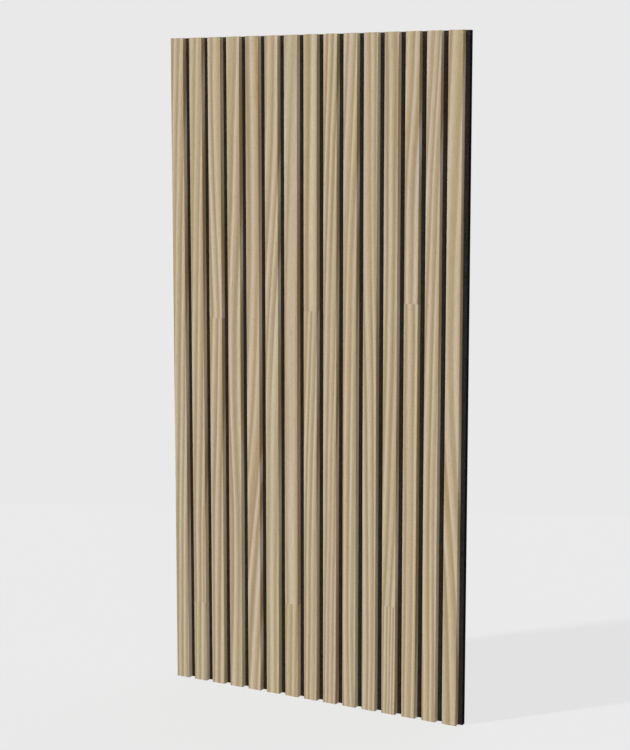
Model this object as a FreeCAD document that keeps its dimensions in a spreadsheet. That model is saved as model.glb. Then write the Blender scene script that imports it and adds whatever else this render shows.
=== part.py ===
"""Acoustic slat wall panel: upright slats glued and stapled to a felt backing.

X runs across the panel, Y points at the wall and Z is up, in millimetres. The origin is
the centre of the wall face, so the felt lies in front of it and the slats before the felt.
"""
import FreeCAD, Part
import enum
import os
import Sketcher

# Driving sizes. Slats and felt are cut flush at both ends, and the felt is one pitch wide
# for each slat, so that the row of slats runs on across the joint to the next panel.
SIZES = {
    "panel_height": 1200.0,
    "slat_count": 15,
    "slat_pitch": 40.0,
    "slat_width": 26.6,
    "slat_thickness": 11.0,
    "slat_edge_radius": 0.8,
    "felt_thickness": 9.0,
    "felt_left_margin": 4.8,
    "staple_rows": 4,
    "staple_end_inset": 60.0,
    "staple_crown": 12.8,
    "staple_sink": 0.3,
    "staple_grip": 5.3,
    "staple_point": 1.0,
    "wire_width": 0.95,
    "wire_thickness": 0.65,
}

# Places that follow from the driving sizes, as expressions on the sheet.
SLATS = "round(Sizes.slat_count)"
ROWS = "round(Sizes.staple_rows)"
FELT_WIDTH = f"{SLATS} * Sizes.slat_pitch"
FIRST_SLAT_X = f"Sizes.felt_left_margin + Sizes.slat_width / 2 - {FELT_WIDTH} / 2"
LAST_SLAT_TRAVEL = f"({SLATS} - 1) * Sizes.slat_pitch"
ROW_TRAVEL = "(Sizes.panel_height - 2 * Sizes.staple_end_inset)"
FIRST_ROW_Z = f"-{ROW_TRAVEL} / 2"
CROWN_INSIDE = "Sizes.staple_crown - 2 * Sizes.wire_thickness"
CROWN_FLOOR = "Sizes.staple_sink + Sizes.wire_thickness"
LEG_TIP = "Sizes.felt_thickness + Sizes.staple_grip"


class Axis(enum.IntEnum):
    """A sketch's own axes, as its constraints number them."""

    X = -1
    Y = -2


class Point(enum.IntEnum):
    """The points of a sketch line, as its constraints number them."""

    START = 1
    END = 2


ORIGIN_POINT = (Axis.X, Point.START)


def make_sheet(doc):
    """Put the driving sizes into the sheet, each cell with its own alias."""
    sheet = doc.addObject("Spreadsheet::Sheet", "Sizes")
    for row, (name, value) in enumerate(SIZES.items(), start=1):
        sheet.set(f"A{row}", name)
        sheet.set(f"B{row}", str(value))
        sheet.setAlias(f"B{row}", name)
    doc.recompute()
    return sheet


def new_body(doc, label):
    """Add an empty body that will be written out under its label."""
    body = doc.addObject("PartDesign::Body", label)
    body.Label = label
    return body


def origin_feature(body, role):
    """Find one of the body's own origin planes or axes by its role."""
    return next(item for item in body.Origin.OriginFeatures if item.Role == role)


def new_sketch(body, name, plane):
    """Add a sketch on one of the body's origin planes."""
    sketch = body.newObject("Sketcher::SketchObject", name)
    sketch.AttachmentSupport = [(origin_feature(body, plane), "")]
    sketch.MapMode = "FlatFace"
    return sketch


def outline(sketch, corners):
    """Draw a closed outline through the corners and return its line numbers."""
    lines = []
    for first, second in zip(corners, corners[1:] + corners[:1]):
        segment = Part.LineSegment(FreeCAD.Vector(*first, 0), FreeCAD.Vector(*second, 0))
        lines.append(sketch.addGeometry(segment, False))
    for line, following in zip(lines, lines[1:] + lines[:1]):
        sketch.addConstraint(Sketcher.Constraint("Coincident", line, Point.END, following, Point.START))
    return lines


def straighten(sketch, level, upright):
    """Hold the given lines level or upright."""
    for line in level:
        sketch.addConstraint(Sketcher.Constraint("Horizontal", line))
    for line in upright:
        sketch.addConstraint(Sketcher.Constraint("Vertical", line))


def centre(sketch, line):
    """Hold a line level, with its middle on the sketch's Y axis."""
    sketch.addConstraint(Sketcher.Constraint("Symmetric", line, Point.START, line, Point.END, Axis.Y))


def both_ends(line):
    """Give a line's first and last point, for a dimension along it."""
    return line, Point.START, line, Point.END


def dimension(sketch, name, kind, points, expression):
    """Add a named dimension between points and bind it to the sheet."""
    value = float(sketch.evalExpression(expression))
    index = sketch.addConstraint(Sketcher.Constraint(kind, *points, value))
    sketch.renameConstraint(index, name)
    sketch.setExpression(f"Constraints.{name}", expression)


def pad_sketch(body, sketch, name, length, symmetric):
    """Pad a sketch by a bound length, to one side or to both."""
    pad = body.newObject("PartDesign::Pad", name)
    pad.Profile = sketch
    pad.SideType = "Symmetric" if symmetric else "One side"
    pad.setExpression("Length", length)
    sketch.Document.recompute()
    return pad


def cut_wire_slot(body, sketch, name):
    """Cut a sketch through by the width of the staple wire and check that it cut."""
    before = body.Shape.Volume
    pocket = body.newObject("PartDesign::Pocket", name)
    pocket.Profile = sketch
    pocket.SideType = "Symmetric"
    pocket.setExpression("Length", "Sizes.wire_width")
    sketch.Document.recompute()
    if not body.Shape.Volume < before:
        raise RuntimeError(f"{body.Label}: {name} cuts nothing")
    return pocket


def repeat_up(body, feature, name):
    """Repeat a feature up the panel, once for each row of staples."""
    pattern = body.newObject("PartDesign::LinearPattern", name)
    pattern.Originals = [feature]
    pattern.Direction = (origin_feature(body, "Z_Axis"), [""])
    pattern.setExpression("Length", ROW_TRAVEL)
    pattern.setExpression("Occurrences", ROWS)
    body.Tip = pattern
    return pattern


def repeat_up_and_across(body, feature, name):
    """Repeat a feature up the panel and across it, once for each row on each slat."""
    pattern = repeat_up(body, feature, name)
    pattern.Direction2 = (origin_feature(body, "X_Axis"), [""])
    pattern.setExpression("Length2", LAST_SLAT_TRAVEL)
    pattern.setExpression("Occurrences2", SLATS)


def first_staple_sketch(body, name):
    """Add a level sketch whose origin is on the wall face, behind the first staple."""
    sketch = new_sketch(body, name, "XY_Plane")
    sketch.setExpression("AttachmentOffset.Base.x", FIRST_SLAT_X)
    sketch.setExpression("AttachmentOffset.Base.z", FIRST_ROW_Z)
    return sketch


def draw_staple(sketch, sunk):
    """Draw a staple from above: a crown, and two legs with slanted points.

    A sunk crown starts below the wall face. Otherwise the outline is open to that face,
    as the slot that the staple was driven through.
    """
    half = float(sketch.evalExpression("Sizes.staple_crown / 2"))
    inner = float(sketch.evalExpression(f"({CROWN_INSIDE}) / 2"))
    back = -float(sketch.evalExpression("Sizes.staple_sink")) if sunk else 0.0
    floor = -float(sketch.evalExpression(CROWN_FLOOR))
    tip = -float(sketch.evalExpression(LEG_TIP))
    heel = tip + float(sketch.evalExpression("Sizes.staple_point"))
    crown, right, right_point, right_inner, under, left_inner, left_point, left = outline(
        sketch,
        [
            (-half, back),
            (half, back),
            (half, tip),
            (inner, heel),
            (inner, floor),
            (-inner, floor),
            (-inner, heel),
            (-half, tip),
        ],
    )
    straighten(sketch, [], [right, right_inner, left_inner, left])
    centre(sketch, crown)
    centre(sketch, under)
    sketch.addConstraint(Sketcher.Constraint("Equal", left, right))
    sketch.addConstraint(Sketcher.Constraint("Equal", left_inner, right_inner))
    if sunk:
        dimension(sketch, "sink", "DistanceY", (crown, Point.START, *ORIGIN_POINT), "Sizes.staple_sink")
    else:
        sketch.addConstraint(Sketcher.Constraint("PointOnObject", crown, Point.START, Axis.X))
    dimension(sketch, "crown", "DistanceX", both_ends(crown), "Sizes.staple_crown")
    dimension(sketch, "inside", "DistanceX", (under, Point.END, under, Point.START), CROWN_INSIDE)
    dimension(sketch, "floor", "DistanceY", (under, Point.START, *ORIGIN_POINT), CROWN_FLOOR)
    dimension(sketch, "tip", "DistanceY", (right, Point.END, *ORIGIN_POINT), LEG_TIP)
    dimension(sketch, "point", "DistanceY", both_ends(right_point), "Sizes.staple_point")


def make_felt_backing(doc):
    """Make the felt sheet, slotted where the staples go through it."""
    body = new_body(doc, "felt_backing")
    sketch = new_sketch(body, "felt_outline", "XZ_Plane")
    half_width = float(sketch.evalExpression(f"{FELT_WIDTH} / 2"))
    half_height = float(sketch.evalExpression("Sizes.panel_height / 2"))
    bottom, right, top, left = outline(
        sketch,
        [
            (-half_width, -half_height),
            (half_width, -half_height),
            (half_width, half_height),
            (-half_width, half_height),
        ],
    )
    straighten(sketch, [bottom, top], [right, left])
    sketch.addConstraint(
        Sketcher.Constraint("Symmetric", bottom, Point.START, top, Point.START, *ORIGIN_POINT)
    )
    dimension(sketch, "width", "DistanceX", both_ends(bottom), FELT_WIDTH)
    dimension(sketch, "height", "DistanceY", both_ends(right), "Sizes.panel_height")
    pad_sketch(body, sketch, "felt_sheet", "Sizes.felt_thickness", symmetric=False)
    slot_outline = first_staple_sketch(body, "staple_slot_outline")
    draw_staple(slot_outline, sunk=False)
    slot = cut_wire_slot(body, slot_outline, "staple_slot")
    repeat_up_and_across(body, slot, "staple_slots")
    return body


def long_front_edges(shape):
    """Name the two long edges of a slat's front face, which is its lowest Y."""
    front = shape.BoundBox.YMin
    names = []
    for number, edge in enumerate(shape.Edges, start=1):
        box = edge.BoundBox
        at_front = abs(box.YMax - front) < Part.Precision.confusion()
        if at_front and box.ZLength > box.XLength:
            names.append(f"Edge{number}")
    return names


def draw_leg_seats(sketch):
    """Draw the two leg ends of a staple as they stand in the back of a slat."""
    half = float(sketch.evalExpression("Sizes.staple_crown / 2"))
    inner = float(sketch.evalExpression(f"({CROWN_INSIDE}) / 2"))
    grip = float(sketch.evalExpression("Sizes.staple_grip"))
    heel = grip - float(sketch.evalExpression("Sizes.staple_point"))
    for side in (-1, 1):
        back, outer, point, inner_side = outline(
            sketch,
            [
                (side * inner, 0),
                (side * half, 0),
                (side * half, -grip),
                (side * inner, -heel),
            ],
        )
        straighten(sketch, [back], [outer, inner_side])
        sketch.addConstraint(Sketcher.Constraint("PointOnObject", back, Point.START, Axis.X))
        name = "left" if side < 0 else "right"
        near, far = (back, Point.START, *ORIGIN_POINT), (back, Point.END, *ORIGIN_POINT)
        if side > 0:
            near, far = (*ORIGIN_POINT, back, Point.START), (*ORIGIN_POINT, back, Point.END)
        dimension(sketch, f"{name}_inner", "DistanceX", near, f"({CROWN_INSIDE}) / 2")
        dimension(sketch, f"{name}_outer", "DistanceX", far, "Sizes.staple_crown / 2")
        upwards = (outer, Point.END, outer, Point.START)
        dimension(sketch, f"{name}_grip", "DistanceY", upwards, "Sizes.staple_grip")
        dimension(sketch, f"{name}_point", "DistanceY", both_ends(point), "Sizes.staple_point")


def make_slat(doc, place):
    """Make one slat with eased front edges and the seats of its staple legs.

    The slat's own frame has its origin in the middle of the face glued to the felt.
    """
    body = new_body(doc, f"slat_{place + 1:02d}")
    section = new_sketch(body, f"slat_section_{place + 1:02d}", "XY_Plane")
    half_width = float(section.evalExpression("Sizes.slat_width / 2"))
    thickness = float(section.evalExpression("Sizes.slat_thickness"))
    front, right, back, left = outline(
        section,
        [
            (-half_width, -thickness),
            (half_width, -thickness),
            (half_width, 0),
            (-half_width, 0),
        ],
    )
    straighten(section, [front], [right, left])
    section.addConstraint(Sketcher.Constraint("PointOnObject", back, Point.START, Axis.X))
    centre(section, back)
    dimension(section, "width", "DistanceX", both_ends(front), "Sizes.slat_width")
    dimension(section, "thickness", "DistanceY", both_ends(right), "Sizes.slat_thickness")
    bar = pad_sketch(body, section, f"slat_bar_{place + 1:02d}", "Sizes.panel_height", symmetric=True)

    eased = body.newObject("PartDesign::Fillet", f"eased_edges_{place + 1:02d}")
    eased.Base = (bar, long_front_edges(bar.Shape))
    eased.setExpression("Radius", "Sizes.slat_edge_radius")
    doc.recompute()

    seats = new_sketch(body, f"leg_seat_outline_{place + 1:02d}", "XY_Plane")
    seats.setExpression("AttachmentOffset.Base.z", FIRST_ROW_Z)
    draw_leg_seats(seats)
    seat = cut_wire_slot(body, seats, f"leg_seat_{place + 1:02d}")
    repeat_up(body, seat, f"leg_seats_{place + 1:02d}")

    body.setExpression("Placement.Base.x", f"{FIRST_SLAT_X} + {place} * Sizes.slat_pitch")
    body.setExpression("Placement.Base.y", "-Sizes.felt_thickness")
    return body


def make_back_staples(doc):
    """Make the staples as one group, each driven through the felt into a slat."""
    body = new_body(doc, "back_staples")
    sketch = first_staple_sketch(body, "staple_outline")
    draw_staple(sketch, sunk=True)
    staple = pad_sketch(body, sketch, "staple", "Sizes.wire_width", symmetric=True)
    repeat_up_and_across(body, staple, "staples")
    return body


def check_document(doc, bodies):
    """Stop if any object failed or any sub-part has no sound shape."""
    failed = [item.Name for item in doc.Objects if {"Invalid", "Error"} & set(item.State)]
    if failed:
        raise RuntimeError(f"failed objects: {failed}")
    for body in bodies:
        if body.Shape.isNull() or not body.Shape.isValid():
            raise RuntimeError(f"{body.Label} has no valid shape")


def main():
    """Build the panel and write each sub-part to its own file."""
    doc = FreeCAD.newDocument("slat_panel")
    sheet = make_sheet(doc)
    bodies = [make_felt_backing(doc)]
    bodies += [make_slat(doc, place) for place in range(round(sheet.slat_count))]
    bodies.append(make_back_staples(doc))
    doc.recompute()
    check_document(doc, bodies)
    os.makedirs("parts", exist_ok=True)
    for body in bodies:
        body.Shape.exportStep(os.path.join("parts", f"{body.Label}.step"))
        print(f"{body.Label}: {len(body.Shape.Solids)} solids, {body.Shape.Volume:.1f} mm3")


main()
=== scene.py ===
"""Dress an acoustic slat wall panel: veneered slats, a needled felt backing and its staples.

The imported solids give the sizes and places. Every visible piece is a surface worked out as
whole arrays: a slat is a section carried up a line, the felt is a rounded sheet on a grid,
and a staple is a wire section carried round a bent path. X runs across the panel, Y into
the wall and Z up, in metres.
"""

import logging
import math
from dataclasses import dataclass, field
from enum import Enum

import bpy
import numpy as np
from numpy.typing import NDArray
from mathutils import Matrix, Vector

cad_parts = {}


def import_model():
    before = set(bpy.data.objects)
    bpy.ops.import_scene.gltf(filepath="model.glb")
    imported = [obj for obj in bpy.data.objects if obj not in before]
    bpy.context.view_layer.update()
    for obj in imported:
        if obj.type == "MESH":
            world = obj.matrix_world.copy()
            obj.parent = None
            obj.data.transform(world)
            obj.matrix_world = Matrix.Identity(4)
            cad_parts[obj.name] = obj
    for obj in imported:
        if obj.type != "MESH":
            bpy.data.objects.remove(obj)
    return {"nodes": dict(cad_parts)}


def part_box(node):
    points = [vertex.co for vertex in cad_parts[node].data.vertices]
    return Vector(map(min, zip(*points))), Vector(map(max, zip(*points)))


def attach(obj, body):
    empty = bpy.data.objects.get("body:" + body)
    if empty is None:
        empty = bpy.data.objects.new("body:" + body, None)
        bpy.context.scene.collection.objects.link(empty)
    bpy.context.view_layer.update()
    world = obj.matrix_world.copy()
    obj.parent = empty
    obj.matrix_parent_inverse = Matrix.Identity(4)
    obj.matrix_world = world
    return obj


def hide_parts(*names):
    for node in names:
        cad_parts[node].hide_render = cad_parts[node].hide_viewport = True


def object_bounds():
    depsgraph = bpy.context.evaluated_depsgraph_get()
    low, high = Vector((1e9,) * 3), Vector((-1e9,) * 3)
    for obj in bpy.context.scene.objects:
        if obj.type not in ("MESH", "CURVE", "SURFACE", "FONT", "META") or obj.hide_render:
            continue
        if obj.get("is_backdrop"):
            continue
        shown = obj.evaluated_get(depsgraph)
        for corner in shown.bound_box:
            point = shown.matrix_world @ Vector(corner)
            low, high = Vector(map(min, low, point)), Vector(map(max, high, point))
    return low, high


Colour = tuple[float, float, float, float]
Stops = tuple[tuple[float, Colour], ...]
Vector3 = tuple[float, float, float]
Range = tuple[float, float]
Noise = tuple[float, float]
Floats = NDArray[np.float64]
Ints = NDArray[np.int64]
Flags = NDArray[np.bool_]
Inputs = dict[str | int, object]
Socket = bpy.types.NodeSocket
Node = bpy.types.Node
Tree = bpy.types.NodeTree

MM = 0.001
BODY = "root"
LOG = logging.getLogger("slat_panel")

# What is written on a slat's faces: true lengths, lengths as the bands count them, and its board.
GRAIN_MAP = "grain"
BAND_MAP = "bands"
BOARD = "board"


def srgb(red: float, green: float, blue: float) -> Colour:
    """Turn a display colour of 0 to 255 a channel into a linear one.

    Formula: below a small threshold the curve is a straight line, and above it a power
    of 2.4 of the channel shifted by 0.055.

    Args:
        red: Red channel.
        green: Green channel.
        blue: Blue channel.

    Returns:
        The linear colour with full alpha.
    """
    shares = np.array([red, green, blue]) / 255.0
    linear = np.where(shares <= 0.04045, shares / 12.92, ((shares + 0.055) / 1.055) ** 2.4)
    return (*linear.tolist(), 1.0)


class Graph:
    """Adds nodes to one tree and joins them, so that a finish reads as a list of steps."""

    def __init__(self, tree: Tree) -> None:
        """Keep the tree that the nodes go into."""
        self.tree = tree

    def node(self, kind: str, inputs: Inputs | None = None, **settings: object) -> Node:
        """Add a node, set its properties and feed its inputs.

        Args:
            kind: Blender's name of the node type.
            inputs: Sockets or values, by the input's name or number.
            **settings: Properties of the node by name.

        Returns:
            The new node.
        """
        made = self.tree.nodes.new(kind)
        for name, value in settings.items():
            setattr(made, name, value)
        self.feed(made, inputs or {})
        return made

    def feed(self, node: Node, inputs: Inputs) -> None:
        """Join a node's inputs to other nodes' outputs, or set the inputs' own values.

        Args:
            node: The node that takes the inputs.
            inputs: Sockets or values, by the input's name or number.
        """
        for name, value in inputs.items():
            if isinstance(value, Socket):
                self.tree.links.new(value, node.inputs[name])
            else:
                node.inputs[name].default_value = value

    def surface(self, inputs: Inputs) -> None:
        """Feed the material's own surface shader."""
        self.feed(self.tree.nodes["Principled BSDF"], inputs)

    def place(self) -> Socket:
        """Give the place on the piece, in metres."""
        return self.node("ShaderNodeTexCoord").outputs["Object"]

    def math(self, operation: str, *values: object, clamp: bool = False) -> Socket:
        """Add a Math node on sockets or numbers, with its result held to 0 to 1 if it is clamped."""
        inputs = dict(enumerate(values))
        return self.node("ShaderNodeMath", inputs, operation=operation, use_clamp=clamp).outputs[0]

    def vector(self, x: object, y: object, z: object) -> Socket:
        """Join three numbers into a vector."""
        return self.node("ShaderNodeCombineXYZ", {0: x, 1: y, 2: z}).outputs[0]

    def parts(self, vector: Socket) -> list[Socket]:
        """Split a vector into its three numbers."""
        return list(self.node("ShaderNodeSeparateXYZ", {0: vector}).outputs)

    def noise(self, vector: object, detail: float, roughness: float, scale: float = 1.0) -> Socket:
        """Add noise with a detail of octaves past the first, each as strong as the roughness says."""
        inputs = {"Vector": vector, "Scale": scale, "Detail": detail, "Roughness": roughness}
        return self.node("ShaderNodeTexNoise", inputs).outputs["Fac"]

    def stretch(self, value: object, low: float, high: float) -> Socket:
        """Map the range from low to high smoothly onto 0 to 1."""
        inputs = {"Value": value, "From Min": low, "From Max": high}
        return self.node("ShaderNodeMapRange", inputs, interpolation_type="SMOOTHSTEP").outputs["Result"]

    def ramp(self, factor: object, stops: Stops) -> Socket:
        """Turn a value into a colour that runs through the stops.

        Args:
            factor: The value, from 0 to 1.
            stops: Places along the ramp with their colours.

        Returns:
            The colour's socket.
        """
        made = self.node("ShaderNodeValToRGB", {"Fac": factor})
        elements = made.color_ramp.elements
        while len(elements) < len(stops):
            elements.new(1.0)
        for element, (place, colour) in zip(elements, stops):
            element.position = place
            element.color = colour
        return made.outputs["Color"]

    def multiply(self, colour: object, by: object, share: object = 1.0) -> Socket:
        """Multiply a colour by another one.

        Args:
            colour: The colour below.
            by: The colour that it is multiplied by.
            share: How much of the product is used, from 0 to 1.

        Returns:
            The new colour's socket.
        """
        made = self.node("ShaderNodeMix", {"Factor": share}, data_type="RGBA", blend_type="MULTIPLY")
        numbers = [number for number, socket in enumerate(made.inputs) if socket.type == "RGBA"]
        self.feed(made, dict(zip(numbers, (colour, by))))
        return next(socket for socket in made.outputs if socket.type == "RGBA")

    def bump(self, height: object, distance: float, strength: float) -> Socket:
        """Turn a height field into a normal."""
        inputs = {"Height": height, "Distance": distance, "Strength": strength}
        return self.node("ShaderNodeBump", inputs).outputs["Normal"]


def add_sockets(tree: Tree, inputs: dict[str, str], outputs: tuple[str, ...]) -> None:
    """Give a group its named inputs, by name and kind, and its value outputs.

    Args:
        tree: The empty group.
        inputs: Kind of each input, by name.
        outputs: Names of the outputs.
    """
    for name, kind in inputs.items():
        tree.interface.new_socket(name, in_out="INPUT", socket_type=f"NodeSocket{kind}")
    for name in outputs:
        tree.interface.new_socket(name, in_out="OUTPUT", socket_type="NodeSocketFloat")


class Streak(Enum):
    """Noise fields of the grain: width, length, place in depth, octaves and roughness."""

    WANDER = (1.0, 0.38, 0.0, 1.0, 0.4)
    PUSH = (14.0 * MM, 0.8, 1.7, 1.0, 0.4)
    CHANGE = (14.0 * MM, 0.7, 3.9, 1.0, 0.5)
    LINES = (1.7 * MM, 0.3, 5.2, 1.0, 0.5)
    TINT = (4.2 * MM, 1.1, 8.3, 1.0, 0.5)
    BLUSH = (5.0 * MM, 0.9, 11.6, 1.0, 0.5)
    FIBRE = (0.45 * MM, 0.04, 0.0, 2.0, 0.6)
    PORES = (0.28 * MM, 0.007, 0.0, 0.0, 0.5)


@dataclass(frozen=True)
class StraightGrain:
    """Straight wood grain.

    Formula: the place across the bands, less a slow wander, is counted in bands, and a slow
    noise pushes the count back and forth. The sine of the count, leaning to one side as
    growth rings do and with its swing set by another slow noise, gives the bands, and fine
    lines are added to them. Noise that is drawn out along the grain gives the tint and the
    blush, and on the true place across it gives the fibres and, where it is highest, the
    pores.
    """

    board_step: float = 7.31
    wander: float = 6.0 * MM
    push: float = 0.9
    lean: float = 0.5
    change: Range = (0.25, 0.6)
    least_swing: float = 0.14
    more_swing: float = 0.29
    lines: float = 0.26
    base: float = 0.375
    pores: Range = (0.64, 0.74)

    def build(self, tree: Tree) -> None:
        """Fill the group.

        Args:
            tree: The empty node group.
        """
        inputs = ("Across", "Across Bands", "Along", "Board", "Band", "Swing")
        add_sockets(tree, dict.fromkeys(inputs, "Float"), ("Bands", "Tint", "Blush", "Fibre", "Pores"))
        graph = Graph(tree)
        given = graph.node("NodeGroupInput").outputs
        board = graph.math("MULTIPLY", given["Board"], self.board_step)

        def drawn_out(streak: Streak, across: object) -> Socket:
            """Read one of the noise fields.

            Args:
                streak: The field.
                across: The place across the grain, in metres.

            Returns:
                The noise value's socket.
            """
            width, length, depth, octaves, roughness = streak.value
            place = graph.vector(
                graph.math("DIVIDE", across, width),
                graph.math("DIVIDE", given["Along"], length),
                graph.math("ADD", board, depth),
            )
            return graph.noise(place, octaves, roughness)

        wander = graph.math("MULTIPLY", drawn_out(Streak.WANDER, 0.0), self.wander)
        straight = graph.math("SUBTRACT", given["Across Bands"], wander)
        fine = graph.math("SUBTRACT", given["Across"], wander)
        even_count = graph.math("DIVIDE", straight, given["Band"])
        count = graph.math("MULTIPLY_ADD", drawn_out(Streak.PUSH, straight), self.push, even_count)
        phase = graph.math("MULTIPLY", count, 2 * math.pi)
        leaning = graph.math("MULTIPLY_ADD", graph.math("SINE", phase), self.lean, phase)
        wave = graph.math("SINE", leaning)
        change = graph.stretch(drawn_out(Streak.CHANGE, straight), *self.change)
        swing = graph.math("MULTIPLY_ADD", change, self.more_swing, self.least_swing)
        swung = graph.math("MULTIPLY", wave, graph.math("MULTIPLY", swing, given["Swing"]))
        lines = graph.math("MULTIPLY_ADD", drawn_out(Streak.LINES, straight), self.lines, self.base)
        results = {
            "Bands": graph.math("ADD", swung, lines, clamp=True),
            "Tint": drawn_out(Streak.TINT, straight),
            "Blush": drawn_out(Streak.BLUSH, straight),
            "Fibre": drawn_out(Streak.FIBRE, fine),
            "Pores": graph.stretch(drawn_out(Streak.PORES, fine), *self.pores),
        }
        graph.node("NodeGroupOutput", results)


@dataclass(frozen=True)
class TangledFibres:
    """Felted or pressed fibres.

    Formula: a strand lies where a noise crosses its middle value, which draws thin curled
    lines. Three such layers, each drawn out another way in the sheet's plane and coarser
    than the one before, lie over one another, and the strongest counts. Plain noise twenty
    times as broad gives the mottle. A layer is its size, the half width of its strands in
    noise and its turn in degrees, and a noise is its octaves and its roughness.
    """

    layers: tuple[Vector3, ...] = ((0.8, 0.06, 20.0), (1.2, 0.045, 85.0), (2.0, 0.03, 145.0))
    drawn_out: float = 2.5
    middle: float = 0.5
    strand_noise: Noise = (1.0, 0.5)
    mottle_noise: Noise = (3.0, 0.6)
    mottle_scale: float = 0.05

    def build(self, tree: Tree) -> None:
        """Fill the group.

        Args:
            tree: The empty node group.
        """
        add_sockets(tree, {"Place": "Vector", "Fibre Size": "Float"}, ("Strands", "Mottle"))
        graph = Graph(tree)
        given = graph.node("NodeGroupInput").outputs
        sizes = graph.vector(*[given["Fibre Size"]] * 3)
        counted = graph.node("ShaderNodeVectorMath", {0: given["Place"], 1: sizes}, operation="DIVIDE")
        place = counted.outputs[0]
        strands: object = 0.0
        for size, half_width, turn in self.layers:
            turned = graph.node(
                "ShaderNodeMapping",
                {
                    "Vector": place,
                    "Rotation": (0.0, math.radians(turn), 0.0),
                    "Scale": (self.drawn_out * size, size, size),
                },
                vector_type="TEXTURE",
            )
            height = graph.noise(turned.outputs[0], *self.strand_noise)
            off_line = graph.math("ABSOLUTE", graph.math("SUBTRACT", height, self.middle))
            line = graph.math("SUBTRACT", 1.0, graph.stretch(off_line, 0.0, half_width))
            strands = graph.math("MAXIMUM", strands, line)
        mottle = graph.noise(place, *self.mottle_noise, self.mottle_scale)
        graph.node("NodeGroupOutput", {"Strands": strands, "Mottle": mottle})


class Effect(Enum):
    """Surface effects that are built once as node groups and shared by the finishes."""

    STRAIGHT_GRAIN = StraightGrain()
    TANGLED_FIBRES = TangledFibres()

    def group(self) -> Tree:
        """Give the effect's node group, building it the first time.

        Returns:
            The group.
        """
        name = self.name.lower()
        found = bpy.data.node_groups.get(name)
        if found is None:
            found = bpy.data.node_groups.new(name, "ShaderNodeTree")
            self.value.build(found)
        return found

    def use(self, graph: Graph, inputs: Inputs) -> bpy.types.NodeOutputs:
        """Place the effect in a material, feed it and give its outputs."""
        return graph.node("ShaderNodeGroup", inputs, node_tree=self.group()).outputs


def new_material(name: str) -> tuple[bpy.types.Material, Graph]:
    """Start a node material.

    Args:
        name: The finish's name.

    Returns:
        The material, and a graph on its tree.
    """
    material = bpy.data.materials.new(name)
    material.use_nodes = True
    return material, Graph(material.node_tree)


@dataclass(frozen=True)
class VeneerFinish:
    """Matt oiled veneer with soft straight bands, read from the slat's own maps.

    The bands run from dark to pale. The tint runs from golden to ashen, the blush from olive
    to rosy and the fibre from furrow to ridge, and each multiplies the colour.
    """

    name: str = "oiled_veneer"
    bands: Stops = (
        (0.0, srgb(161, 139, 101)),
        (0.38, srgb(178, 159, 126)),
        (0.66, srgb(193, 177, 150)),
        (1.0, srgb(205, 191, 169)),
    )
    tint: Stops = ((0.35, (1.0, 1.0, 0.905, 1.0)), (0.65, (1.0, 1.0, 1.09, 1.0)))
    blush: Stops = ((0.35, (0.978, 1.02, 1.025, 1.0)), (0.65, (1.027, 0.976, 0.97, 1.0)))
    fibre: Stops = ((0.3, (0.87, 0.86, 0.83, 1.0)), (0.7, (1.11, 1.11, 1.11, 1.0)))
    pore: Colour = srgb(120, 96, 66)
    pore_share: float = 0.28
    roughness: float = 0.49
    fibre_roughness: float = 0.12
    fibre_height: float = 0.4
    relief: float = 0.06 * MM
    relief_strength: float = 0.35
    specular: float = 0.3

    def material(self) -> bpy.types.Material:
        """Build the veneer's material from the grain, its hues, its fibres and its pores.

        Returns:
            The material.
        """
        material, graph = new_material(self.name)
        maps = [graph.node("ShaderNodeUVMap", uv_map=name).outputs[0] for name in (GRAIN_MAP, BAND_MAP)]
        (across, along, _), (across_bands, _, _) = [graph.parts(place) for place in maps]
        board = graph.node("ShaderNodeAttribute", attribute_name=BOARD).outputs
        number, band, tone = graph.parts(board["Vector"])
        grain = Effect.STRAIGHT_GRAIN.use(
            graph,
            {
                "Across": across,
                "Across Bands": across_bands,
                "Along": along,
                "Board": number,
                "Band": band,
                "Swing": board["Alpha"],
            },
        )
        colour = graph.ramp(graph.math("ADD", grain["Bands"], tone), self.bands)
        for hue, stops in (("Tint", self.tint), ("Blush", self.blush), ("Fibre", self.fibre)):
            colour = graph.multiply(colour, graph.ramp(grain[hue], stops))
        pore_depth = graph.math("MULTIPLY", grain["Pores"], self.pore_share)
        ridges = graph.math("MULTIPLY", grain["Fibre"], self.fibre_height)
        height = graph.math("SUBTRACT", ridges, grain["Pores"])
        roughness = graph.math("MULTIPLY_ADD", grain["Fibre"], self.fibre_roughness, self.roughness)
        graph.surface(
            {
                "Base Color": graph.multiply(colour, self.pore, pore_depth),
                "Roughness": roughness,
                "Normal": graph.bump(height, self.relief, self.relief_strength),
                "Specular IOR Level": self.specular,
            }
        )
        return material


@dataclass(frozen=True)
class MattedFinish:
    """Fibres matted together: needled felt, or the sawn ends of fibreboard.

    Its tone is a share of the strands plus a share of the mottle, and it runs through the
    stops. The relief follows that tone where it is mottled, and otherwise the bare strands.
    """

    name: str
    stops: Stops
    fibre: float
    strand_share: float = 0.65
    mottle_share: float = 0.45
    mottled_relief: bool = True
    relief: float = 0.2 * MM
    relief_strength: float = 0.7
    roughness: float = 0.95
    specular: float = 0.1

    def material(self) -> bpy.types.Material:
        """Build the material from curled fibres over a darker ground.

        Returns:
            The material.
        """
        material, graph = new_material(self.name)
        sizes = {"Place": graph.place(), "Fibre Size": self.fibre}
        fibres = Effect.TANGLED_FIBRES.use(graph, sizes)
        mottle = graph.math("MULTIPLY", fibres["Mottle"], self.mottle_share)
        tone = graph.math("MULTIPLY_ADD", fibres["Strands"], self.strand_share, mottle)
        height = tone if self.mottled_relief else fibres["Strands"]
        graph.surface(
            {
                "Base Color": graph.ramp(tone, self.stops),
                "Normal": graph.bump(height, self.relief, self.relief_strength),
                "Roughness": self.roughness,
                "Specular IOR Level": self.specular,
            }
        )
        return material


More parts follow.
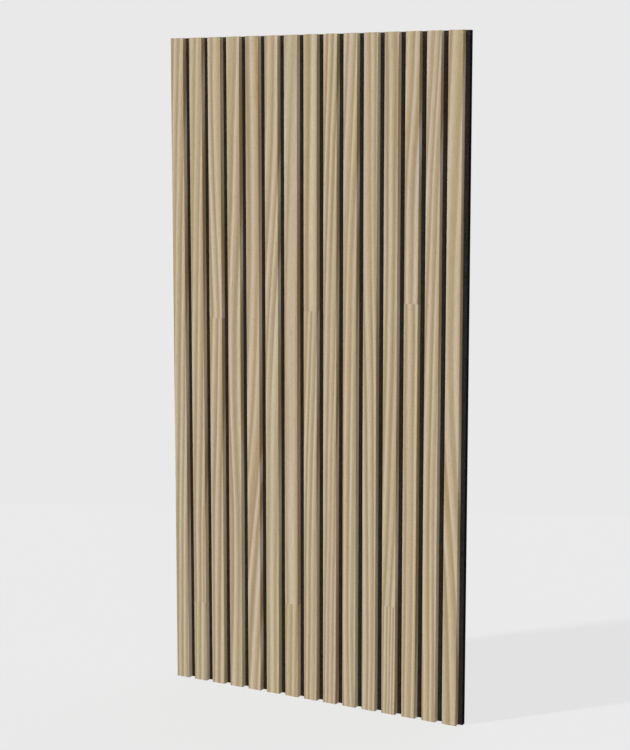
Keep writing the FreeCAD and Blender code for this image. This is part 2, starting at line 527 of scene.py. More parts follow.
FELT_FACE = MattedFinish("felt_face", ((0.15, srgb(20, 19, 18)), (0.85, srgb(66, 63, 60))), 1.1 * MM)
# Painted shade: the felt's edges and ends take a much darker copy of the face's colour, standing in for
# the shade on its edges.
FELT_EDGE_PAINTED_SHADE = MattedFinish(
    "felt_edge_painted_shade",
    ((0.15, srgb(6, 6, 6)), (0.85, srgb(20, 20, 21))),
    fibre=0.7 * MM,
    specular=0.02,
)
SAWN_FIBREBOARD = MattedFinish(
    "sawn_fibreboard",
    ((0.15, srgb(128, 99, 66)), (0.9, srgb(168, 138, 101))),
    fibre=0.5 * MM,
    strand_share=0.5,
    mottle_share=0.6,
    mottled_relief=False,
    relief=0.08 * MM,
    relief_strength=0.5,
    roughness=0.9,
    specular=0.2,
)


@dataclass(frozen=True)
class WireFinish:
    """Zinc-coated staple wire with slight stains, from dull to clean."""

    name: str = "zinc_wire"
    stops: Stops = ((0.3, srgb(132, 134, 137)), (0.7, srgb(178, 180, 182)))
    stains_per_metre: float = 900.0
    stain_noise: Noise = (3.0, 0.6)
    roughness: float = 0.2
    stain_roughness: float = 0.3

    def material(self) -> bpy.types.Material:
        """Build the wire's material from stains on bare zinc.

        Returns:
            The material.
        """
        material, graph = new_material(self.name)
        stain = graph.noise(graph.place(), *self.stain_noise, self.stains_per_metre)
        graph.surface(
            {
                "Base Color": graph.ramp(stain, self.stops),
                "Roughness": graph.math("MULTIPLY_ADD", stain, self.stain_roughness, self.roughness),
                "Metallic": 1.0,
            }
        )
        return material


@dataclass
class Surface:
    """A mesh in the making: its points and polygons, and what is written on its faces."""

    points: list[Floats] = field(default_factory=list)
    polygons: list[list[int]] = field(default_factory=list)
    finishes: list[Ints] = field(default_factory=list)
    smooth: list[Flags] = field(default_factory=list)
    maps: dict[str, list[Floats]] = field(default_factory=dict)
    boards: list[Floats] = field(default_factory=list)

    def add_points(self, points: Floats) -> int:
        """Add points.

        Args:
            points: X, Y and Z in the last axis.

        Returns:
            The number of the first one.
        """
        first = sum(len(block) for block in self.points)
        self.points.append(points.reshape(-1, 3))
        return first

    def add_faces(self, faces: Ints, finish: int | Ints, smooth: bool | Flags = True) -> None:
        """Add faces with as many corners each.

        Args:
            faces: Point numbers, in its last axis, of each face, outwards by the right-hand rule.
            finish: Number of the finish among the piece's materials, for all faces or each.
            smooth: Whether the faces are shaded as one rounded surface, for all or each.
        """
        shape = faces.shape[:-1]
        self.polygons.extend(faces.reshape(-1, faces.shape[-1]).tolist())
        self.finishes.append(np.broadcast_to(finish, shape).ravel())
        self.smooth.append(np.broadcast_to(smooth, shape).ravel())

    def add_places(self, name: str, across: Floats, along: Floats) -> None:
        """Write two values on the corners of the faces added last, into the map of this name."""
        places = np.stack(np.broadcast_arrays(across, along), axis=-1)
        self.maps.setdefault(name, []).append(places.reshape(-1, 2))

    def piece(self, name: str, materials: list[bpy.types.Material]) -> bpy.types.Object:
        """Put the surface into a new object that rides on the panel.

        Args:
            name: The piece's name.
            materials: Its finishes, in the order of their numbers.

        Returns:
            The object, at the origin and in the scene.
        """
        mesh = bpy.data.meshes.new(name)
        mesh.from_pydata(np.concatenate(self.points).tolist(), [], self.polygons)
        for material in materials:
            mesh.materials.append(material)
        mesh.polygons.foreach_set("material_index", np.concatenate(self.finishes).astype(np.int32))
        mesh.polygons.foreach_set("use_smooth", np.concatenate(self.smooth))
        for map_name, places in self.maps.items():
            layer = mesh.uv_layers.new(name=map_name)
            layer.uv.foreach_set("vector", np.concatenate(places).astype(np.float32).ravel())
        if self.boards:
            layer = mesh.attributes.new(BOARD, "FLOAT_COLOR", "FACE")
            layer.data.foreach_set("color", np.concatenate(self.boards).astype(np.float32).ravel())
        mesh.validate()
        mesh.update()
        made = bpy.data.objects.new(name, mesh)
        bpy.context.scene.collection.objects.link(made)
        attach(made, BODY)
        LOG.info("%s: %d faces", name, len(mesh.polygons))
        return made


def tube_faces(rings: int, around: int) -> Ints:
    """Number the four corners of each face of a tube.

    Formula: the face between ring i and i + 1, and between section point j and j + 1 taken
    round the section, so that a section that turns anticlockwise seen from the end of the
    path gives faces that point outwards.

    Args:
        rings: How many rings the tube has.
        around: How many points each ring has.

    Returns:
        Corners as an array of rings - 1 by around by 4.
    """
    ring, place = np.meshgrid(np.arange(rings - 1), np.arange(around), indexing="ij")
    following = (place + 1) % around
    low, high = ring * around, (ring + 1) * around
    return np.stack([low + place, low + following, high + following, high + place], axis=-1)


class Band(Enum):
    """Width of one light band and one dark one, at the foot of a slat."""

    FINE = 6.5 * MM
    NARROW = 8.5 * MM
    MEDIUM = 10.5 * MM
    BROAD = 13.0 * MM
    WIDE = 16.0 * MM
    PLAIN = 20.0 * MM


# How far a swell in the grain reaches, as a share of its board's length.
SWELL_REACH = 0.2


class Figure(Enum):
    """How the bands of a board lean: at its foot, at its top, and more in a swell at one height.

    The last value is the swell's height as a share of the board's length.
    """

    STRAIGHT = (0.005, 0.000, 0.000, 0.50)
    RISES = (0.005, 0.030, 0.000, 0.50)
    TURNS_RIGHT = (-0.020, 0.045, 0.000, 0.50)
    EASES_LEFT = (0.045, -0.022, 0.000, 0.50)
    DRIFTS_LEFT = (-0.042, 0.008, 0.000, 0.50)
    BOWS_LEFT = (0.000, 0.000, -0.024, 0.55)
    WANDERS = (0.020, 0.040, -0.055, 0.38)
    SWELLS_RIGHT = (0.000, 0.015, 0.055, 0.62)
    SWEEPS_RIGHT = (0.030, -0.015, 0.090, 0.32)
    SWEEPS_LEFT = (0.000, 0.040, -0.105, 0.33)

    def drift(self, share: Floats, length: float) -> Floats:
        """Give how far the bands have moved across.

        Formula: the lean runs evenly from its value at the foot to its value at the top,
        which adds up to the lean at the foot times the share, plus half of the change in
        lean times the share squared. The swell is the square of a hyperbolic secant, which
        adds up to a hyperbolic tangent. All of it is times the board's length.

        Args:
            share: How far up the board, from 0 to 1.
            length: The board's length.

        Returns:
            The shift towards the right.
        """
        foot, top, swell, place = self.value
        swollen = swell * SWELL_REACH * np.tanh((share - place) / SWELL_REACH)
        return length * (foot * share + 0.5 * (top - foot) * share**2 + swollen)


@dataclass(frozen=True)
class Board:
    """One length of veneer on a slat: its figure, and its tone and strength of bands."""

    figure: Figure
    band: Band
    tone: float = 0.0
    swing: float = 1.0

    def values(self, number: float) -> Floats:
        """Give what the veneer's material reads: number, band width, tone and swing."""
        return np.array([number, self.band.value, self.tone, self.swing])


@dataclass(frozen=True)
class SpliceLine:
    """End joints in the veneer that climb across the panel, on every fifth slat."""

    first_slat: int
    height: float
    rise: float = 4.5 * MM
    every: int = 5

    def height_on(self, slat: int) -> float | None:
        """Find the joint on a slat.

        Args:
            slat: The slat's number, from 1.

        Returns:
            The joint's height above the slat's foot, or None if it has none.
        """
        steps = slat - self.first_slat
        if steps < 0 or steps % self.every:
            return None
        return self.height + steps * self.rise


@dataclass
class SlatRow:
    """The slats: one section carried up the panel, with end joints and sawn ends."""

    nodes: list[str]
    veneer: VeneerFinish = VeneerFinish()
    core: MattedFinish = SAWN_FIBREBOARD
    edge_radius: float = 0.8 * MM
    least_radius: float = 0.2 * MM
    edge_steps: int = 6
    veneer_thickness: float = 0.6 * MM
    splices: tuple[SpliceLine, ...] = (SpliceLine(2, 0.152), SpliceLine(3, 0.693))
    joint_width: float = 0.3 * MM
    joint_depth: float = 0.12 * MM
    ring_spacing: float = 0.05
    band_growth: float = 0.25
    side_stretch: float = 0.3
    # Painted shade: the sides' bands are moved darker, partly for the shade on the slats' sides and
    # partly for their browner veneer.
    side_shade_and_tone: float = -0.10
    side_swing: float = 1.6
    boards: tuple[tuple[Board, ...], ...] = (
        (Board(Figure.RISES, Band.MEDIUM),),
        (Board(Figure.STRAIGHT, Band.MEDIUM), Board(Figure.RISES, Band.MEDIUM)),
        (Board(Figure.RISES, Band.BROAD), Board(Figure.DRIFTS_LEFT, Band.BROAD, 0.03)),
        (Board(Figure.WANDERS, Band.WIDE),),
        (Board(Figure.SWEEPS_RIGHT, Band.WIDE),),
        (Board(Figure.SWELLS_RIGHT, Band.BROAD, 0.03),),
        (Board(Figure.STRAIGHT, Band.MEDIUM), Board(Figure.TURNS_RIGHT, Band.PLAIN, 0.08, 0.8)),
        (Board(Figure.RISES, Band.NARROW), Board(Figure.STRAIGHT, Band.PLAIN, 0.04)),
        (Board(Figure.RISES, Band.NARROW),),
        (Board(Figure.TURNS_RIGHT, Band.MEDIUM, 0.02),),
        (Board(Figure.BOWS_LEFT, Band.MEDIUM),),
        (Board(Figure.STRAIGHT, Band.FINE), Board(Figure.EASES_LEFT, Band.BROAD)),
        (Board(Figure.STRAIGHT, Band.MEDIUM, 0.02), Board(Figure.SWELLS_RIGHT, Band.BROAD)),
        (Board(Figure.TURNS_RIGHT, Band.MEDIUM),),
        (Board(Figure.SWEEPS_LEFT, Band.WIDE),),
    )

    def section(self, half_width: float, thickness: float, inset: Floats) -> Floats:
        """Work out a slat's section, seen from above, from the back left corner round.

        Formula: down the left side, a quarter circle about each front corner's centre, up
        the right side, and back along the glued face past the two edges of the veneer. An
        inset moves the sides and the front inwards and shortens the radius.

        Args:
            half_width: Half of the slat's width.
            thickness: From the glued face to the front.
            inset: How far each ring is moved inwards.

        Returns:
            Rings by section points by X and Y, from the middle of the glued face.
        """
        inset = inset.reshape(-1, 1)
        side, front = half_width - inset, thickness - inset
        radius = np.maximum(self.edge_radius - inset, self.least_radius)
        turn = np.linspace(0.0, math.pi / 2, self.edge_steps + 1)
        towards, past = radius - radius * np.cos(turn), radius - radius * np.sin(turn)
        inner = np.full_like(inset, half_width - self.veneer_thickness)
        flat = np.zeros_like(inset)
        across = np.concatenate([-side, towards - side, side - past, side, inner, -inner], axis=1)
        deep = np.concatenate([flat, past - front, towards - front, flat, flat, flat], axis=1)
        return np.stack([across, deep], axis=-1)

    def corner_places(self) -> Ints:
        """Number the section's faces that lie on its two rounded corners."""
        first = 1 + np.arange(self.edge_steps)
        return np.concatenate([first, first + self.edge_steps + 1])

    def splice_height(self, slat: int) -> float | None:
        """Give the height of the end joint on a slat, or None if it has none."""
        found = [line.height_on(slat) for line in self.splices]
        return next((height for height in found if height is not None), None)

    def rings(self, low: float, high: float, joint: float | None) -> tuple[Floats, Floats]:
        """Give the heights of the rings and how far each is inset.

        Formula: even heights and, at an end joint, three more across its width, of which
        the middle one is inset, so that the two boards meet in a fine groove.

        Args:
            low: Z of the foot.
            high: Z of the top.
            joint: Height of the end joint above the foot, or None.

        Returns:
            Heights and insets.
        """
        heights = np.linspace(low, high, round((high - low) / self.ring_spacing) + 1)
        if joint is None:
            return heights, np.zeros_like(heights)
        around_joint = low + joint + np.array([-0.5, 0.0, 0.5]) * self.joint_width
        heights = np.sort(np.concatenate([heights, around_joint]))
        return heights, np.where(heights == low + joint, self.joint_depth, 0.0)

    def board_values(self, slat: int, upper: Flags, sides: Flags) -> Floats:
        """Give each face what its material reads, with stronger bands on the sides, darkened there by
        painted shade and by the veneer's browner tone.

        Formula: boards are numbered two to a slat, so that no two have the same grain.

        Args:
            slat: The slat's number, from 1.
            upper: Which rows of faces lie above the slat's end joint.
            sides: Which places round the section lie on the slat's sides.

        Returns:
            Rows by places by four values.
        """
        boards = self.boards[slat - 1]
        number = 2.0 * slat
        below, above = boards[0].values(number), boards[-1].values(number + 1.0)
        values = np.repeat(np.where(upper[:, None], above, below)[:, None], len(sides), axis=1)
        values[:, sides] *= (1.0, 1.0, 1.0, self.side_swing)
        # Painted shade: the sides' tone is lowered, partly for their shade and partly for their browner
        # veneer.
        values[:, sides] += (0.0, 0.0, self.side_shade_and_tone, 0.0)
        return values

    def drift(self, slat: int, ends: Floats, upper: Flags, joint: float, length: float) -> Floats:
        """Give how far the bands have moved across at both ends of each row of faces.

        Args:
            slat: The slat's number, from 1.
            ends: Heights above the foot, rows by two.
            upper: Which rows lie above the end joint.
            joint: Height of the end joint, or the slat's length where it has none.
            length: The slat's length.

        Returns:
            The shifts, rows by two.
        """
        boards = self.boards[slat - 1]
        below = boards[0].figure.drift(ends / joint, joint)
        if len(boards) == 1:
            return below
        above = boards[1].figure.drift((ends - joint) / (length - joint), length - joint)
        return np.where(upper[:, None], above, below)

    def add_end(
        self,
        surface: Surface,
        ring: Ints,
        across: dict[str, Floats],
        rim: Floats,
        top: bool,
        board: Floats,
    ) -> None:
        """Close one end: a rim of veneer round a core of fibreboard.

        Args:
            surface: The slat's surface.
            ring: Point numbers of the end ring.
            across: Places across, by map, of the end ring's points that the veneer has.
            rim: The veneer's inner edge at this end.
            top: Whether this is the upper end, whose faces point up.
            board: The board's values for these faces.
        """
        veneered = len(rim)
        first = surface.add_points(rim[1:-1])
        inner = np.concatenate([[ring[-1]], first + np.arange(veneered - 2), [ring[-2]]])
        outer = ring[:veneered]
        order = slice(None) if top else slice(None, None, -1)
        quads = np.stack([outer[:-1], outer[1:], inner[1:], inner[:-1]], axis=-1)
        surface.add_faces(quads[:, order], finish=0, smooth=False)
        surface.add_faces(inner[order][None], finish=1, smooth=False)
        for name, places in across.items():
            corners = np.stack([places[:-1], places[1:], places[1:], places[:-1]], axis=1)
            surface.add_places(name, corners[:, order], rim[0, 2])
            surface.add_places(name, np.zeros(veneered), rim[0, 2])
        surface.boards.append(np.repeat(board[None], len(quads) + 1, axis=0))

    def build_slat(self, slat: int, node: str) -> Surface:
        """Work out one slat as its section carried from foot to top.

        Formula: both maps hold the length round the section, divided by how much wider the
        bands are up there and less their drift, and the height. The grain map has the true
        length, and in the band map the sides are shortened, so that the bands run slower
        over them.

        Args:
            slat: The slat's number, from 1.
            node: The solid that gives its size and place.

        Returns:
            The slat's closed surface.
        """
        low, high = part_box(node)
        half_width, thickness, height = (high.x - low.x) / 2, high.y - low.y, high.z - low.z
        joint = self.splice_height(slat)
        heights, inset = self.rings(low.z, high.z, joint)
        flat = self.section(half_width, thickness, inset)
        middle = np.array([(low.x + high.x) / 2, high.y])
        rings, around = flat.shape[:2]
        points = np.empty((rings, around, 3))
        points[..., :2] = flat + middle
        points[..., 2] = heights[:, None]

        surface = Surface()
        surface.add_points(points)
        veneered = around - 2
        places = np.arange(around)
        on_core = np.where(places >= veneered - 1, 1, 0)
        surface.add_faces(tube_faces(rings, around), on_core, np.isin(places, self.corner_places()))

        plain = self.section(half_width, thickness, np.zeros(1))[0]
        sides = np.isin(places, (0, veneered - 2))
        steps = np.linalg.norm(np.diff(np.vstack([plain, plain[:1]]), axis=0), axis=1)
        ends = np.stack([heights[:-1], heights[1:]], axis=1)
        joint_height = height if joint is None else joint
        upper = ends.mean(axis=1) > low.z + joint_height
        drift = self.drift(slat, ends - low.z, upper, joint_height, height)
        widening = 1.0 + self.band_growth * (ends - low.z) / height
        at_corner = np.array([0, 0, 1, 1])
        bottom, top = {}, {}
        for name, stretch in ((GRAIN_MAP, 1.0), (BAND_MAP, self.side_stretch)):
            length = np.concatenate([[0.0], np.cumsum(np.where(sides, stretch, 1.0) * steps)])
            corners = np.stack([length[:-1], length[1:], length[1:], length[:-1]], axis=1)
            across = corners / widening[:, None, at_corner] - drift[:, None, at_corner]
            surface.add_places(name, across, ends[:, None, at_corner])
            bottom[name] = length[:veneered] / widening[0, 0] - drift[0, 0]
            top[name] = length[:veneered] / widening[-1, -1] - drift[-1, -1]
        surface.boards.append(self.board_values(slat, upper, sides).reshape(-1, 4))

        inner = self.section(half_width, thickness, np.array([self.veneer_thickness]))[0, :veneered]
        for across, is_top in ((bottom, False), (top, True)):
            ring = (rings - 1 if is_top else 0) * around + places
            rim = np.column_stack([inner + middle, np.full(veneered, heights[-1 if is_top else 0])])
            board = self.board_values(slat, np.array([is_top]), np.array([False]))[0, 0]
            self.add_end(surface, ring, across, rim, is_top, board)
        return surface

    def make(self) -> None:
        """Build and dress every slat."""
        finishes = [self.veneer.material(), self.core.material()]
        for slat, node in enumerate(self.nodes, start=1):
            made = self.build_slat(slat, node).piece(f"veneered_{node}", finishes)
            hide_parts(node)


@dataclass
class BackStaples:
    """Wire staples driven from behind, one to each slat in each row."""

    slat_nodes: list[str]
    node: str = "back_staples"
    finish: WireFinish = WireFinish()
    rows: int = 4
    crown: float = 12.8 * MM
    wire_width: float = 0.95 * MM
    wire_thickness: float = 0.65 * MM
    bend_radius: float = 0.8 * MM
    bend_steps: int = 5
    section_points: int = 12
    tip_share: float = 0.2

    def places(self) -> Floats:
        """Work out where the staples are: on each slat's middle line, in even rows.

        Returns:
            The middle of each staple's crown, on its outer face.
        """
        low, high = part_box(self.node)
        heights = np.linspace(low.z + self.wire_width / 2, high.z - self.wire_width / 2, self.rows)
        boxes = [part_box(name) for name in self.slat_nodes]
        middles = np.array([(left.x + right.x) / 2 for left, right in boxes])
        across, up = np.meshgrid(middles, heights, indexing="ij")
        return np.stack([across, np.full_like(across, high.y), up], axis=-1).reshape(-1, 3)

    def path(self) -> tuple[Floats, Floats]:
        """Work out the line of one staple and the directions across its wire.

        Formula: up one leg, a quarter circle, along the crown, a quarter circle and down
        the other leg, all in a level plane. The direction across is the outward side.

        Returns:
            Points and outward directions along the wire, each by X and Y.
        """
        low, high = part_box(self.node)
        leg = high.y - low.y
        half = self.crown / 2 - self.wire_thickness / 2
        top = -self.wire_thickness / 2
        turn = np.linspace(0.0, math.pi / 2, self.bend_steps + 1)
        bend = np.stack([-np.cos(turn), np.sin(turn)], axis=1)
        centre = np.array([-half + self.bend_radius, top - self.bend_radius])
        left = np.vstack([[-half, -leg], [-half, top - leg / 2], centre + self.bend_radius * bend])
        left_out = np.vstack([[-1.0, 0.0], [-1.0, 0.0], bend])
        mirror = np.array([-1.0, 1.0])
        line, outward = (np.vstack([side, (side * mirror)[::-1]]) for side in (left, left_out))
        return line, outward

    def build(self) -> Surface:
        """Work out all the staples as a rounded flat section carried along the line.

        Formula: the section is a rounded rectangle, the square root of the size of the
        cosine and sine with their signs, times half the wire's thickness and width. At
        the two tips it is drawn in to a chisel point.

        Returns:
            The staples' closed surfaces.
        """
        line, outward = self.path()
        angle = np.linspace(0.0, 2 * math.pi, self.section_points, endpoint=False)
        rounded = np.stack([np.cos(angle), -np.sin(angle)])
        rounded = np.sign(rounded) * np.sqrt(np.abs(rounded))
        taper = np.ones(len(line))
        taper[[0, -1]] = self.tip_share
        thick = 0.5 * self.wire_thickness * rounded[0] * taper[:, None]
        wide = np.broadcast_to(0.5 * self.wire_width * rounded[1], thick.shape)
        flat = line[:, None, :] + thick[..., None] * outward[:, None, :]
        single = np.concatenate([flat, wide[..., None]], axis=-1)
        points = self.places()[:, None, None, :] + single
        surface = Surface()
        surface.add_points(points)
        first = np.arange(len(points)) * len(line) * self.section_points
        faces = tube_faces(len(line), self.section_points)
        surface.add_faces(first[:, None, None, None] + faces, finish=0)
        ring = np.arange(self.section_points)
        last = (len(line) - 1) * self.section_points
        surface.add_faces(first[:, None] + ring[::-1], finish=0, smooth=False)
        surface.add_faces(first[:, None] + last + ring, finish=0, smooth=False)
        return surface

    def make(self) -> None:
        """Build and dress the staples."""
        made = self.build().piece("wire_staples", [self.finish.material()])
        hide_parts(self.node)


@dataclass
class FeltBacking:
    """The felt sheet: flat in front, with dents round the staples behind."""

    staples: BackStaples
    node: str = "felt_backing"
    face: MattedFinish = FELT_FACE
    # Painted shade on the felt's edges and ends.
    edge_shade: MattedFinish = FELT_EDGE_PAINTED_SHADE
    edge_radius: float = 0.5 * MM
    edge_steps: int = 4
    column_spacing: float = 2.5 * MM
    row_spacing: float = 20.0 * MM
    dent_depth: float = 0.75 * MM
    dent_reach: Range = (9.0 * MM, 6.0 * MM)
    dent_rows: int = 13
    dent_row_reach: float = 9.0 * MM

    def dents(self, across: Floats, up: Floats) -> Floats:
        """Work out how deep the staples pull the back face in.

        Formula: the depth times a bell curve of the distance past the ends of the nearest
        crown across, and times one of the distance from the nearest line of staples
        upwards. Each bell falls to about a fiftieth at its reach.

        Args:
            across: X of the grid's columns.
            up: Z of the grid's rows.

        Returns:
            Depths, rows by columns.
        """
        places = self.staples.places()
        middles, heights = np.unique(places[:, 0]), np.unique(places[:, 2])
        past_crown = np.abs(across[:, None] - middles).min(axis=1) - self.staples.crown / 2
        off_line = np.abs(up[:, None] - heights).min(axis=1)
        wide, tall = self.dent_reach
        bell_across = np.exp(-((2.0 * np.maximum(past_crown, 0.0) / wide) ** 2))
        bell_up = np.exp(-((2.0 * off_line / tall) ** 2))
        return self.dent_depth * bell_up[:, None] * bell_across[None, :]

    def rows(self, low: float, high: float) -> tuple[Floats, Floats]:
        """Give the heights of the rings and how far each is inset at a rounded end.

        Formula: even rows, closer rows at each line of staples, and at both ends a quarter
        circle, where the height past the end is the radius less its cosine and the inset
        is the radius less its sine.

        Args:
            low: Z of the foot.
            high: Z of the top.

        Returns:
            Heights and insets.
        """
        turn = np.linspace(0.0, math.pi / 2, self.edge_steps + 1)
        run_in, inset = self.edge_radius * (1 - np.cos(turn)), self.edge_radius * (1 - np.sin(turn))
        lines = np.unique(self.staples.places()[:, 2])
        near = np.linspace(-self.dent_row_reach, self.dent_row_reach, self.dent_rows)
        inner = np.arange(low + self.row_spacing, high - self.row_spacing / 2, self.row_spacing)
        inner = np.unique(np.concatenate([inner, (lines[:, None] + near).ravel()]))
        heights = np.concatenate([low + run_in, inner, (high - run_in)[::-1]])
        return heights, np.concatenate([inset, np.zeros(len(inner)), inset[::-1]])

    def build(self) -> Surface:
        """Work out the sheet as a rounded rectangle carried from foot to top.

        Formula: each ring runs along the front, round the right edge, back along the rear
        and round the left edge, inset at the ends, with the dents taken off the rear.

        Returns:
            The sheet's closed surface.
        """
        low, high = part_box(self.node)
        radius = self.edge_radius
        heights, inset = self.rows(low.z, high.z)
        half = (high.x - low.x) / 2 - radius
        middle, mid_depth = (low.x + high.x) / 2, (low.y + high.y) / 2
        columns = middle + np.linspace(-half, half, round(2 * half / self.column_spacing) + 1)
        turn = np.linspace(0.0, math.pi / 2, self.edge_steps + 1)
        sine, cosine = radius * np.sin(turn), radius * np.cos(turn)
        right = high.x - radius + np.concatenate([sine[1:], cosine[:-1]])
        deep = np.concatenate([low.y + radius - cosine[1:], high.y - radius + sine[:-1]])
        left = 2 * middle - right[::-1]
        front, rear = np.full(len(columns), low.y), np.full(len(columns), high.y)
        across = np.concatenate([columns, right, columns[::-1], left])
        depth = np.concatenate([front, deep, rear, deep[::-1]])
        around, rings = len(across), len(heights)
        narrowing = 1.0 - inset / (half + radius)
        thinning = 1.0 - inset / ((high.y - low.y) / 2)
        points = np.empty((rings, around, 3))
        points[..., 0] = middle + (across - middle) * narrowing[:, None]
        points[..., 1] = mid_depth + (depth - mid_depth) * thinning[:, None]
        points[..., 2] = heights[:, None]
        behind = slice(len(columns) + len(right), 2 * len(columns) + len(right))
        points[:, behind, 1] -= self.dents(columns, heights)[:, ::-1]

        surface = Surface()
        surface.add_points(points)
        faces = tube_faces(rings, around)
        on_edge = np.ones(around, bool)
        on_edge[: len(columns) - 1] = False
        on_edge[behind.start : behind.stop - 1] = False
        surface.add_faces(faces[:, ~on_edge], finish=0)
        # Painted shade: the edge faces, and the ends closed below, take the felt's darker shaded colour.
        surface.add_faces(faces[:, on_edge], finish=1)
        for ring in (0, rings - 1):
            self.add_end(surface, ring * around + np.arange(around), len(columns), len(right), ring > 0)
        return surface

    def add_end(self, surface: Surface, ring: Ints, columns: int, edge: int, top: bool) -> None:
        """Close one end with faces from the front to the rear and one at each edge.

        Args:
            surface: The sheet's surface.
            ring: Point numbers of the end ring.
            columns: How many points the front has.
            edge: How many points each edge has.
            top: Whether this is the upper end, whose faces point up.
        """
        front, right, rear, left = np.split(ring, np.cumsum([columns, edge, columns]))
        rear = rear[::-1]
        quads = np.stack([front[:-1], front[1:], rear[1:], rear[:-1]], axis=-1)
        right_side = np.concatenate([front[-1:], right, rear[-1:]])
        left_side = np.concatenate([rear[:1], left, front[:1]])
        order = slice(None) if top else slice(None, None, -1)
        for faces in (quads, np.stack([right_side, left_side])):
            surface.add_faces(faces[:, order], finish=1, smooth=False)

    def make(self) -> None:
        """Build and dress the felt."""
        made = self.build().piece("needled_felt", [self.face.material(), self.edge_shade.material()])
        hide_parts(self.node)


@dataclass(frozen=True)
class Lamp:
    """A far lamp.

    Its light goes towards a turn in degrees from X towards Y and falls at a height in
    degrees. Its softness is how wide it looks from the panel, in degrees.
    """

    name: str
    turn: float
    height: float
    power: float
    softness: float

    def make(self) -> None:
        """Hang the lamp."""
        lamp = bpy.data.lights.new(self.name, "SUN")
        lamp.energy = self.power
        lamp.angle = math.radians(self.softness)
        made = bpy.data.objects.new(self.name, lamp)
        made.rotation_euler = (math.radians(90.0 - self.height), 0.0, math.radians(self.turn - 90.0))
        bpy.context.scene.collection.objects.link(made)


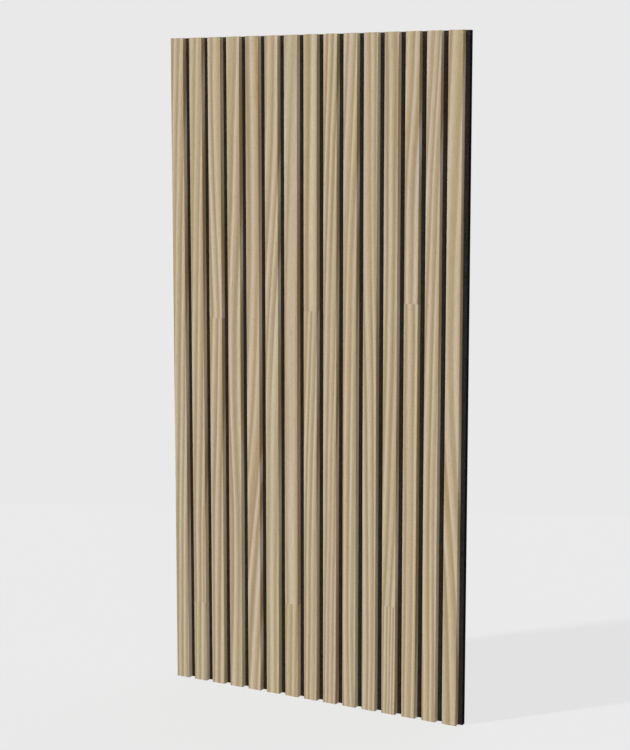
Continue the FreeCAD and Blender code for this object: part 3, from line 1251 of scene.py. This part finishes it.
@dataclass
class Studio:
    """A pale floor and backdrop, a soft key and fill, and the camera."""

    floor_height: float
    backdrop: Colour = srgb(233, 233, 233)
    floor_glow: float = 0.697
    floor_shade: float = 0.112
    floor_far_edge: tuple[Range, Range] = ((-1.605, 1.036), (-0.024, 1.753))
    floor_reach: float = 14.0
    ambient_front: float = 0.18
    ambient_back: float = 0.95
    ambient_turn: Range = (-0.1, 0.7)
    lamps: tuple[Lamp, ...] = (Lamp("key", 51.6, 49.6, 2.29, 2.5), Lamp("fill", 122.0, 18.0, 1.70, 24.0))
    camera_place: Vector3 = (1.5613, -2.7316, 0.4375)
    camera_pitch: float = 7.937
    camera_yaw: float = 29.802
    lens: float = 84.897
    sensor: float = 36.0

    def show(self, graph: Graph, light: Socket, shown: Socket) -> Socket:
        """Mix what lights the panel with what is seen, straight or in a reflection.

        Args:
            graph: The graph that the mix goes into.
            light: The shader for rays that only light.
            shown: The shader for rays that show the backdrop.

        Returns:
            The mixed shader's socket.
        """
        path = graph.node("ShaderNodeLightPath").outputs
        straight = graph.math("MAXIMUM", path["Is Camera Ray"], path["Is Glossy Ray"])
        seen = graph.math("MAXIMUM", straight, path["Is Transmission Ray"])
        return graph.node("ShaderNodeMixShader", {0: seen, 1: light, 2: shown}).outputs[0]

    def make_world(self) -> None:
        """Set soft light that is brighter behind the panel, and the backdrop's grey.

        Formula: the strength runs smoothly from its front to its back value with the
        direction's part along Y.
        """
        world = bpy.data.worlds.new("studio")
        world.use_nodes = True
        world.node_tree.nodes.clear()
        graph = Graph(world.node_tree)
        _, into_wall, _ = graph.parts(graph.node("ShaderNodeTexCoord").outputs["Generated"])
        behind = graph.stretch(into_wall, *self.ambient_turn)
        extra = graph.math("MULTIPLY", behind, self.ambient_back - self.ambient_front)
        strength = graph.math("ADD", extra, self.ambient_front)
        white = (1.0, 1.0, 1.0, 1.0)
        light = graph.node("ShaderNodeBackground", {"Color": white, "Strength": strength}).outputs[0]
        shown = graph.node("ShaderNodeBackground", {"Color": self.backdrop}).outputs[0]
        graph.node("ShaderNodeOutputWorld", {"Surface": self.show(graph, light, shown)})
        bpy.context.scene.world = world

    def make_floor(self) -> None:
        """Lay a floor that glows at the backdrop's grey and takes a faint shadow.

        Formula: the far edge runs through two points, and the other two corners lie
        towards the camera at right angles to it.
        """
        first, second = np.array(self.floor_far_edge)
        along = (second - first) / np.linalg.norm(second - first)
        near = np.array([along[1], -along[0]])
        ends = np.array([first - self.floor_reach * along, second + self.floor_reach * along])
        corners = np.vstack([ends, ends[::-1] + 2 * self.floor_reach * near])
        points = np.column_stack([corners, np.full(len(corners), self.floor_height)])
        mesh = bpy.data.meshes.new("floor")
        mesh.from_pydata(points.tolist(), [], [[3, 2, 1, 0]])
        floor = bpy.data.objects.new("floor", mesh)
        bpy.context.scene.collection.objects.link(floor)
        floor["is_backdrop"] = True

        material, graph = new_material("floor")
        material.node_tree.nodes.clear()
        shade = (*[self.floor_shade] * 3, 1.0)
        matt = graph.node("ShaderNodeBsdfDiffuse", {"Color": shade}).outputs[0]
        glow = graph.node("ShaderNodeEmission", {"Strength": self.floor_glow}).outputs[0]
        shown = graph.node("ShaderNodeAddShader", {0: matt, 1: glow}).outputs[0]
        light = graph.node("ShaderNodeEmission", {"Strength": self.ambient_front}).outputs[0]
        graph.node("ShaderNodeOutputMaterial", {"Surface": self.show(graph, light, shown)})
        mesh.materials.append(material)

    def make_camera(self) -> None:
        """Stand the camera where the photograph was taken from."""
        lens = bpy.data.cameras.new("camera")
        lens.lens = self.lens
        lens.sensor_width = self.sensor
        camera = bpy.data.objects.new("camera", lens)
        camera.location = self.camera_place
        tilt, yaw = math.radians(90.0 - self.camera_pitch), math.radians(self.camera_yaw)
        camera.rotation_euler = (tilt, 0.0, yaw)
        bpy.context.scene.collection.objects.link(camera)
        bpy.context.scene.camera = camera

    def make(self) -> None:
        """Set up the whole studio."""
        bpy.context.scene.view_settings.view_transform = "Standard"
        self.make_world()
        self.make_floor()
        for lamp in self.lamps:
            lamp.make()
        self.make_camera()
        LOG.info("studio ready")


def main() -> None:
    """Build the panel's pieces and the studio, with the floor at the foot of the imported solids' box.
    """
    logging.basicConfig(level=logging.INFO, format="%(name)s: %(message)s")
    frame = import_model()
    solid_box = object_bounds()
    slats = sorted(name for name in frame["nodes"] if name.startswith("slat_"))
    staples = BackStaples(slats)
    SlatRow(slats).make()
    FeltBacking(staples).make()
    staples.make()
    Studio(floor_height=solid_box[0].z).make()


if __name__ == "__main__":
    main()
